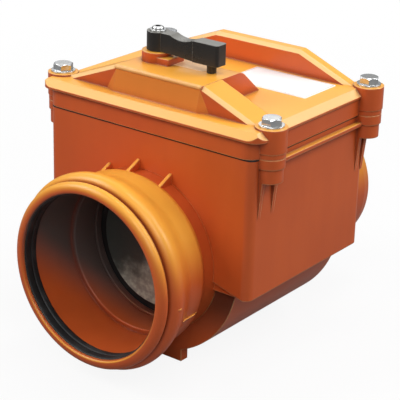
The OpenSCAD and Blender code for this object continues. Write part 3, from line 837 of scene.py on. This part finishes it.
def block(low: Vector, high: Vector, corner: float, segments: int) -> bmesh.types.BMesh:
    """Makes a box with round upright corners.

    Args:
        low: Lowest corner.
        high: Highest corner.
        corner: Radius of the upright corners.
        segments: Faces round each of them.

    Returns:
        The box's mesh.
    """
    mesh = bmesh.new()
    place = Matrix.Translation((low + high) / 2) @ Matrix.Diagonal((*(high - low), 1.0))
    bmesh.ops.create_cube(mesh, size=1.0, matrix=place)
    upright = [e for e in mesh.edges if abs(e.verts[0].co.z - e.verts[1].co.z) > (high.z - low.z) / 2]
    soften(mesh, upright, corner, segments)
    return mesh


def thin_film(low: Vector, high: Vector, corner: float, edge: float) -> bmesh.types.BMesh:
    """Makes a thin sheet with round corners and a soft upper edge.

    Args:
        low: Lowest corner.
        high: Highest corner.
        corner: Radius of the upright corners.
        edge: Width of the soft edge.

    Returns:
        The sheet's mesh.
    """
    mesh = block(low, high, corner, segments=4)
    rim = [e for e in mesh.edges if all(v.co.z > high.z - TINY for v in e.verts)]
    soften(mesh, rim, edge, segments=2)
    return mesh


def turned(outline: list[Point], along: Vector, centre: Vector, closed: bool,
           steps: int) -> bmesh.types.BMesh:
    """Turns an outline about a line.

    Args:
        outline: Radius and height of each point, in millimetres.
        along: Direction of the line.
        centre: Point on the line where the height is zero.
        closed: Whether the last point joins the first.
        steps: Faces round the line.

    Returns:
        The turned mesh.
    """
    mesh = bmesh.new()
    points = [mesh.verts.new(centre + Vector((r * MM, 0.0, 0.0)) + along * h * MM) for r, h in outline]
    ends = points[1:] + (points[:1] if closed else [])
    edges = [mesh.edges.new(pair) for pair in zip(points, ends)]
    bmesh.ops.spin(mesh, geom=points + edges, cent=centre, axis=along, angle=2 * math.pi, steps=steps,
                   use_merge=True)
    bmesh.ops.remove_doubles(mesh, verts=mesh.verts[:], dist=TINY)
    bmesh.ops.recalc_face_normals(mesh, faces=mesh.faces[:])
    return mesh


def arc(centre: Point, radii: Point, start: float, end: float, steps: int = 8) -> list[Point]:
    """Points along a stretch of an ellipse.

    Args:
        centre: Middle of the ellipse.
        radii: Half widths along the two directions of the outline.
        start: Angle of the first point in degrees.
        end: Angle of the last point in degrees.
        steps: Stretches between the points.

    Returns:
        The points, from start to end.
    """
    angles = (math.radians(start + (end - start) * i / steps) for i in range(steps + 1))
    return [(centre[0] + radii[0] * math.cos(a), centre[1] + radii[1] * math.sin(a)) for a in angles]


def eased(start: Point, end: Point, steps: int) -> list[Point]:
    """Points of a soft step that starts and ends level.

    Args:
        start: Radius and height at the start.
        end: Radius and height at the end.
        steps: Stretches between the points.

    Returns:
        The points, from start to end.
    """
    radius, height = start
    wider, higher = end[0] - radius, end[1] - height
    shares = [i / steps for i in range(steps + 1)]
    return [(radius + wider * (1 - math.cos(math.pi * t)) / 2, height + higher * t) for t in shares]


def slab(corners: list[Vector], depth: Vector, soft: float) -> bmesh.types.BMesh:
    """Makes a flat plate with soft edges from one of its sides.

    Args:
        corners: Outline of the side, in order.
        depth: Step to the other side.
        soft: Width of the rounding.

    Returns:
        The plate's mesh.
    """
    mesh = bmesh.new()
    face = mesh.faces.new([mesh.verts.new(corner) for corner in corners])
    made = bmesh.ops.extrude_face_region(mesh, geom=[face])["geom"]
    bmesh.ops.translate(mesh, verts=moved(made), vec=depth)
    bmesh.ops.recalc_face_normals(mesh, faces=mesh.faces[:])
    soften(mesh, mesh.edges[:], soft, segments=2)
    return mesh


def platform_height() -> float:
    """Height of the cover's platform, which lies just under the lever's peg."""
    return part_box("lever")[0][2] - LEVER_GAP * MM


@dataclass
class InletBell:
    """Socket bell with a rolled lip, a seal bulge, a full barrel, a neck and three gussets."""

    bore_r: float = 51.8
    socket_r: float = 55.2
    neck_r: float = 56.6
    barrel_r: float = 60.0
    groove_r: float = 60.3
    lip_r: float = 62.5
    bulge_r: float = 66.0
    nose_r: float = 57.0
    lip_at: float = 4.2
    groove_width: float = 1.2
    bulge_at: float = 13.2
    barrel_at: float = 33.0
    neck_at: Point = (42.0, 50.5)
    shoulder_at: float = 47.5
    end_at: float = 68.0
    pocket_r: float = 59.4
    pocket: Point = (2.4, 12.0)
    pocket_edge: float = 0.05
    shoulder_soft: float = 0.9
    steps: int = 144
    gusset_xs: tuple[float, ...] = (-30.5, -6.0, 20.5)
    gusset_half: float = 1.2
    gusset_foot: Point = (-2.0, 11.0)
    gusset_lift: float = 0.8
    gusset_root: float = 2.0
    gusset_rise: float = 6.0
    soft: float = 0.35

    def build(self, shop: Workshop) -> None:
        """Replaces the plain bell and its gussets.

        Args:
            shop: Maker of pieces.
        """
        pvc = shop.materials[Finish.PVC]
        bell = turned(self._outline(), PIPE_WAY, MOUTH_CENTRE, closed=True, steps=self.steps)
        shop.piece("inlet_bell", bell, pvc, Body.VALVE, ("inlet_socket",))
        for number, x in enumerate(self.gusset_xs, 1):
            shop.piece(f"bell_gusset_{number}", self._gusset(x), pvc, Body.VALVE)

    def _outline(self) -> list[Point]:
        """Radius and distance from the mouth, over the lip and barrel and back through the bore.

        Returns:
            The points of the bell's wall.
        """
        front, back = self.pocket
        inner = self.socket_r + self.pocket_edge
        nose = arc((self.nose_r, front), (self.nose_r - inner, front), 180, 270)
        lip = arc((self.nose_r, self.lip_at), (self.lip_r - self.nose_r, self.lip_at), -90, 0)
        heel_r = self.lip_r - self.groove_r
        heel = arc((self.groove_r, self.lip_at), (heel_r, heel_r), 0, 90)
        bulge_length = self.bulge_at - self.lip_at - heel_r - self.groove_width
        bulge = arc((self.groove_r, self.bulge_at), (self.bulge_r - self.groove_r, bulge_length), -90, 0)
        barrel = eased(bulge[-1], (self.barrel_r, self.barrel_at), steps=14)
        neck = eased((self.barrel_r, self.neck_at[0]), (self.neck_r, self.neck_at[1]), steps=5)
        tail = [(self.neck_r, self.end_at), (self.bore_r, self.end_at)]
        soft = self.shoulder_soft
        shoulder = arc((self.bore_r + soft, self.shoulder_at + soft), (soft, soft), 180, 270, steps=4)
        bore = [(self.socket_r, self.shoulder_at), (self.socket_r, back)]
        pocket = [(self.pocket_r, back), (self.pocket_r, front)]
        return nose + lip[1:] + heel[1:] + bulge + barrel[1:] + neck + tail + shoulder + bore + pocket

    def _gusset(self, x: float) -> bmesh.types.BMesh:
        """Shapes the taper rib at one place across the neck.

        Args:
            x: Distance from the valve's middle.

        Returns:
            The rib's mesh.
        """
        top = math.sqrt(self.neck_r ** 2 - x * x) + self.gusset_lift
        root = top - self.gusset_root
        front, back = self.gusset_foot
        side = [(front, root), (front, top), (back, top + self.gusset_rise), (back, root)]
        return slab([Vector((x - self.gusset_half, y, z)) * MM for y, z in side],
                    Vector((2 * self.gusset_half, 0.0, 0.0)) * MM, self.soft * MM)


@dataclass
class CoverFilms:
    """Blank white label and the pale pad under the lever."""

    corner: float = 1.0 * MM
    edge: float = 0.1 * MM
    pad_low: Point = (-8.0, 46.5)
    pad_high: Point = (17.0, 64.5)
    pad_thickness: float = 0.25

    def build(self, shop: Workshop) -> None:
        """Replaces the plain plate and lays the pad on the platform.

        Args:
            shop: Maker of pieces.
        """
        low, high = (Vector(p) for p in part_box("label_plate"))
        label = thin_film(low, high, self.corner, self.edge)
        shop.piece("blank_label", label, BlankLabel(low, high).make(), Body.VALVE,
                   ("label_plate",))
        level = platform_height() / MM
        low = Vector((*self.pad_low, level)) * MM
        high = Vector((*self.pad_high, level + self.pad_thickness)) * MM
        pad = thin_film(low, high, self.corner, self.edge)
        shop.piece("lever_pad", pad, shop.materials[Finish.PAD], Body.VALVE)


@dataclass
class SocketSeal:
    """Rubber ring in the bell with two round lips, the second reaching over the bore."""

    back_r: float = 59.3
    foot_r: float = 55.6
    lip_r: float = 54.3
    waist_r: float = 54.9
    front: float = 2.5
    waist: float = 8.3
    pocket_end: float = 11.9
    lip_end: float = 12.9
    steps: int = 128
    smooth_angle: float = math.radians(60)

    def build(self, shop: Workshop) -> None:
        """Replaces the plain ring.

        Args:
            shop: Maker of pieces.
        """
        ring = turned(self._outline(), PIPE_WAY, MOUTH_CENTRE, closed=True, steps=self.steps)
        shop.piece("socket_seal_ring", ring, shop.materials[Finish.RUBBER], Body.VALVE,
                   ("socket_seal",), self.smooth_angle)

    def _outline(self) -> list[Point]:
        """Radius and distance from the mouth, round the ring's section.

        Returns:
            The points of the section.
        """
        back = [(self.back_r, self.front), (self.back_r, self.pocket_end), (self.foot_r, self.pocket_end)]
        return back + self._lip(self.waist, self.lip_end) + self._lip(self.front, self.waist)[1:]

    def _lip(self, start: float, end: float) -> list[Point]:
        """Half round from the end back to the start of a lip."""
        half = (end - start) / 2
        return arc((self.waist_r, start + half), (self.waist_r - self.lip_r, half), 90, 270)


@dataclass(frozen=True)
class Rib:
    """One mould rib on the bell: angle from the right and a path of distance from the mouth and radius."""

    angle: float
    path: tuple[Point, ...]


@dataclass
class BellRibs:
    """Small mould ribs low on the bell's right side."""

    rise: float = 0.7
    root: float = 0.8
    thickness: float = 1.2
    soft: float = 0.3
    ribs: tuple[Rib, ...] = (
        Rib(-5.0, ((11.0, 65.5), (13.0, 66.0), (18.0, 64.0), (25.0, 61.2))),
        Rib(-22.0, ((28.0, 61.2), (31.0, 60.3), (41.0, 60.0), (45.0, 59.2))),
        Rib(-31.0, ((15.0, 65.6), (18.0, 64.4), (28.0, 60.9))))

    def build(self, shop: Workshop) -> None:
        """Adds the ribs.

        Args:
            shop: Maker of pieces.
        """
        for number, rib in enumerate(self.ribs, 1):
            shop.piece(f"bell_rib_{number}", self._mesh(rib), shop.materials[Finish.PVC], Body.VALVE)

    def _mesh(self, rib: Rib) -> bmesh.types.BMesh:
        """Shapes one rib along its path.

        Args:
            rib: Place of the rib.

        Returns:
            The rib's mesh.
        """
        last = len(rib.path) - 1
        upper = [(y, r + (self.rise if 0 < i < last else 0.0)) for i, (y, r) in enumerate(rib.path)]
        lower = [(y, r - self.root) for y, r in reversed(rib.path)]
        mesh = slab([Vector((r, MOUTH + y, -self.thickness / 2)) * MM for y, r in upper + lower],
                    Vector((0.0, 0.0, self.thickness)) * MM, self.soft * MM)
        bmesh.ops.rotate(mesh, verts=mesh.verts[:], cent=(0.0, 0.0, 0.0),
                         matrix=Matrix.Rotation(-math.radians(rib.angle), 3, "Y"))
        return mesh


@dataclass
class LeverScrew:
    """Low button screw with a hexagon socket on the lever's hub."""

    head_r: float = 4.0
    head_h: float = 1.9
    wall_h: float = 0.65
    rim_r: float = 2.5
    shank_r: float = 2.4
    socket_r: float = 1.8
    socket_depth: float = 1.1
    socket_sides: int = 6
    side_cuts: int = 7

    def build(self, shop: Workshop) -> None:
        """Replaces the plain screw.

        Args:
            shop: Maker of pieces.
        """
        low, high = (Vector(p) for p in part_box("lever_screw"))
        seat = Vector(((low.x + high.x) / 2, (low.y + high.y) / 2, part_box("lever_washer")[1][2]))
        foot = (low.z - seat.z) / MM
        outline = [(0.0, foot), (self.shank_r, foot), (self.shank_r, 0.0), (self.head_r, 0.0)]
        dome = (self.head_r - self.rim_r, self.head_h - self.wall_h)
        outline += arc((self.rim_r, self.wall_h), dome, 0, 90, steps=4)
        steps = self.socket_sides * (self.side_cuts + 1)
        mesh = turned(outline, Vector((0.0, 0.0, 1.0)), seat, closed=False, steps=steps)
        self._sink_socket(mesh, Vector((seat.x, seat.y, seat.z + self.head_h * MM)))
        bmesh.ops.recalc_face_normals(mesh, faces=mesh.faces[:])
        shop.piece("lever_button_screw", mesh, shop.materials[Finish.ZINC], Body.LEVER,
                   ("lever_screw",))

    def _sink_socket(self, mesh: bmesh.types.BMesh, top: Vector) -> None:
        """Closes the open head with a flat that holds the hexagon socket.

        Args:
            mesh: Screw, open at its rim.
            top: Middle of the head's flat.
        """
        rim = self._level_edges(mesh, top.z)
        hexagon = bmesh.ops.create_circle(mesh, segments=self.socket_sides, radius=self.socket_r * MM,
                                          matrix=Matrix.Translation(top))["verts"]
        sides = [e for e in mesh.edges if e.verts[0] in hexagon and e.verts[1] in hexagon]
        bmesh.ops.subdivide_edges(mesh, edges=sides, cuts=self.side_cuts)
        socket = [e for e in self._level_edges(mesh, top.z) if e not in rim]
        bmesh.ops.bridge_loops(mesh, edges=rim + socket)
        walls = bmesh.ops.extrude_edge_only(mesh, edges=socket)["geom"]
        bmesh.ops.translate(mesh, verts=moved(walls), vec=(0.0, 0.0, -self.socket_depth * MM))
        bmesh.ops.contextual_create(mesh, geom=[e for e in walls if isinstance(e, bmesh.types.BMEdge)])

    @staticmethod
    def _level_edges(mesh: bmesh.types.BMesh, level: float) -> list[bmesh.types.BMEdge]:
        """Edges of a mesh that lie at one height."""
        return [e for e in mesh.edges if all(abs(v.co.z - level) < TINY for v in e.verts)]


@dataclass
class SkirtShadowStrip:
    """Dark rubber strip below the cover's skirt, a painted shadow of the skirt's overhang along the joint.
    """

    half_width: float = 84.12
    front: float = 10.88
    back: float = 142.62
    top: float = 83.0
    height: float = 1.2
    corner: float = 6.1
    depth: float = 0.8

    def build(self, shop: Workshop) -> None:
        """Adds the thin ring.

        Args:
            shop: Maker of pieces.
        """
        low = Vector((-self.half_width, self.front, self.top - self.height)) * MM
        high = Vector((self.half_width, self.back, self.top)) * MM
        mesh = block(low, high, self.corner * MM, segments=6)
        caps = [f for f in mesh.faces if abs(f.normal.z) > 0.5]
        bmesh.ops.delete(mesh, geom=caps, context="FACES_ONLY")
        bmesh.ops.solidify(mesh, geom=mesh.faces[:], thickness=self.depth * MM)
        bmesh.ops.recalc_face_normals(mesh, faces=mesh.faces[:])
        # The dark strip paints the shadow under the skirt's overhang.
        shop.piece("skirt_shadow_strip", mesh, shop.materials[Finish.RUBBER], Body.VALVE)


@dataclass
class PlatformBead:
    """Rounded bead along the front edge of the cover's platform."""

    length: float = 70.4
    radius: float = 1.5
    face: float = 21.4
    inset: float = 0.55
    drop: float = 1.15
    segments: int = 32
    round_end: float = 0.9

    def build(self, shop: Workshop) -> None:
        """Adds the bead.

        Args:
            shop: Maker of pieces.
        """
        level = platform_height() - self.drop * MM
        place = Matrix.Translation((0.0, (self.face + self.inset) * MM, level))
        mesh = bmesh.new()
        bmesh.ops.create_cone(mesh, cap_ends=True, segments=self.segments, radius1=self.radius * MM,
                              radius2=self.radius * MM, depth=self.length * MM,
                              matrix=place @ Matrix.Rotation(math.pi / 2, 4, "Y"))
        rims = [e for e in mesh.edges if abs(e.verts[0].co.x - e.verts[1].co.x) < TINY]
        soften(mesh, rims, self.round_end * MM, segments=4)
        # Its pale finish paints a highlight along the platform's front edge.
        shop.piece("platform_bead", mesh, shop.materials[Finish.BEAD_HIGHLIGHT], Body.VALVE)


@dataclass(frozen=True)
class Lamp:
    """A square softbox, placed by degrees from the valve's right side and above the floor.

    Its power is in watts and its side in metres.
    """

    name: str
    turn: float
    rise: float
    power: float
    size: float

    def build(self, aim: Vector, distance: float) -> None:
        """Adds the lamp, turned to the valve.

        Args:
            aim: Point that it faces.
            distance: Metres from that point.
        """
        lamp = bpy.data.objects.new(self.name, bpy.data.lights.new(self.name, "AREA"))
        lamp.data.shape = "SQUARE"
        lamp.data.size = self.size
        lamp.data.energy = self.power
        turn, rise = math.radians(self.turn), math.radians(self.rise)
        flat = math.cos(rise)
        away = Vector((flat * math.cos(turn), flat * math.sin(turn), math.sin(rise)))
        lamp.location = aim + away * distance
        lamp.rotation_euler = (-away).to_track_quat("-Z", "Y").to_euler()
        bpy.context.scene.collection.objects.link(lamp)


@dataclass
class Studio:
    """Pale floor, soft light and the camera at the photograph's angle."""

    eye: tuple[float, float, float] = (0.5663, -0.6843, 0.3963)
    right: tuple[float, float, float] = (0.7934, 0.6082, 0.0254)
    down: tuple[float, float, float] = (0.2453, -0.2812, -0.9277)
    lens_px: float = 1484.5
    image_px: float = 400.0
    sensor: float = 36.0
    clip: Point = (0.05, 50.0)
    floor_size: float = 12.0
    floor_fade: Point = (0.15, 0.9)
    floor_lit: Colour = (0.24, 0.24, 0.24)
    floor_seen: Colour = (0.8, 0.8, 0.8)
    floor_glow: float = 0.9
    floor_mirror: float = 0.06
    floor_roughness: float = 0.9
    floor_specular: float = 0.1
    gloss_rise: Point = (0.0, 0.75)
    world_gloss: Point = (0.15, 1.0)
    light_rise: Point = (-0.2, 0.9)
    world_light: Point = (0.02, 0.12)
    aim: tuple[float, float, float] = (0.0, 0.05, 0.03)
    lamp_distance: float = 1.4
    lamps: tuple[Lamp, ...] = (
        Lamp("front_left_softbox", turn=-140.0, rise=38.0, power=11.0, size=0.7),
        Lamp("front_right_softbox", turn=-50.0, rise=38.0, power=7.8, size=0.8),
        Lamp("back_right_softbox", turn=40.0, rise=40.0, power=12.0, size=0.8),
        Lamp("back_left_softbox", turn=135.0, rise=35.0, power=1.5, size=0.8),
        Lamp("top_softbox", turn=20.0, rise=82.0, power=4.2, size=0.4))

    def build(self) -> None:
        """Places everything that isn't part of the valve."""
        self._camera()
        self._world()
        self._floor()
        for lamp in self.lamps:
            lamp.build(Vector(self.aim), self.lamp_distance)

    def _camera(self) -> None:
        """Adds the camera from its eye point and axes."""
        camera = bpy.data.objects.new("camera", bpy.data.cameras.new("camera"))
        across, up = Vector(self.right).normalized(), -Vector(self.down).normalized()
        back = across.cross(up).normalized()
        turn = Matrix((across, back.cross(across), back)).transposed().to_4x4()
        camera.matrix_world = Matrix.Translation(self.eye) @ turn
        camera.data.sensor_width = self.sensor
        camera.data.lens = self.sensor * self.lens_px / self.image_px
        camera.data.clip_start, camera.data.clip_end = self.clip
        bpy.context.scene.collection.objects.link(camera)
        bpy.context.scene.camera = camera

    def _world(self) -> None:
        """White for the camera, bright overhead in reflections, and softer as light."""
        world = bpy.data.worlds.new("studio")
        world.use_nodes = True
        bpy.context.scene.world = world
        sky = Nodes(world.node_tree)
        height = sky.parts(sky.node("ShaderNodeTexCoord", output="Generated"))[2]
        light = self._rising(height, self.light_rise, self.world_light)
        gloss = self._rising(height, self.gloss_rise, self.world_gloss)
        strength = light.towards(gloss, sky.ray("Is Glossy Ray")).towards(1.0, sky.ray("Is Camera Ray"))
        background = world.node_tree.nodes["Background"].inputs
        background["Color"].default_value = (1.0, 1.0, 1.0, 1.0)
        sky.feed(background["Strength"], strength)

    @staticmethod
    def _rising(height: Term, span: Point, strengths: Point) -> Term:
        """Strength that changes smoothly from the low to the high end of a span of heights."""
        low, high = strengths
        return low + height.ramp(*span) * (high - low)

    def _floor(self) -> None:
        """Adds the pale floor under the feet."""
        mesh = bmesh.new()
        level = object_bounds()[0][2]
        bmesh.ops.create_grid(mesh, x_segments=1, y_segments=1, size=self.floor_size / 2,
                              matrix=Matrix.Translation((0.0, 0.0, level)))
        data = bpy.data.meshes.new("floor")
        mesh.to_mesh(data)
        mesh.free()
        data.materials.append(self._floor_finish())
        floor = bpy.data.objects.new("floor", data)
        bpy.context.scene.collection.objects.link(floor)
        floor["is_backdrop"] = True

    def _floor_finish(self) -> bpy.types.Material:
        """Makes the floor's finish, which glows white for the camera and still takes the shadow.

        Returns:
            The finished material.
        """
        shader = Shader("pale_floor")
        seen = shader.ray("Is Camera Ray")
        shader.set(Base_Color=shader.blend(seen, self.floor_lit, self.floor_seen),
                   Roughness=self.floor_roughness, Specular_IOR_Level=self.floor_specular)
        x, y, _ = shader.parts(shader.place())
        far = ((x * x + y * y) ** 0.5).ramp(*self.floor_fade)
        glow_share = seen * (self.floor_glow + far * (1.0 - self.floor_glow))
        glow_share = glow_share + shader.ray("Is Glossy Ray") * self.floor_mirror
        glow = shader.node("ShaderNodeEmission", None, {"Strength": 1.0})
        plain_floor = Term(shader, shader.surface.outputs[0])
        mix = shader.node("ShaderNodeMixShader", None, {0: glow_share, 1: plain_floor, 2: glow})
        shader.feed(shader.tree.nodes["Material Output"].inputs["Surface"], mix)
        return shader.material


def main() -> None:
    """Loads the frame, dresses it and sets the stage."""
    logging.basicConfig(level=logging.INFO, format="%(name)s: %(message)s")
    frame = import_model()
    shop = Workshop(frame)
    for finish, nodes in DRESSED_NODES.items():
        for node in nodes:
            shop.dress(node, finish)
    for assembly in (InletBell, CoverFilms, SocketSeal, BellRibs, LeverScrew, SkirtShadowStrip, PlatformBead):
        assembly().build(shop)
    Studio().build()
    bpy.context.scene.view_settings.view_transform = "Standard"


if __name__ == "__main__":
    main()
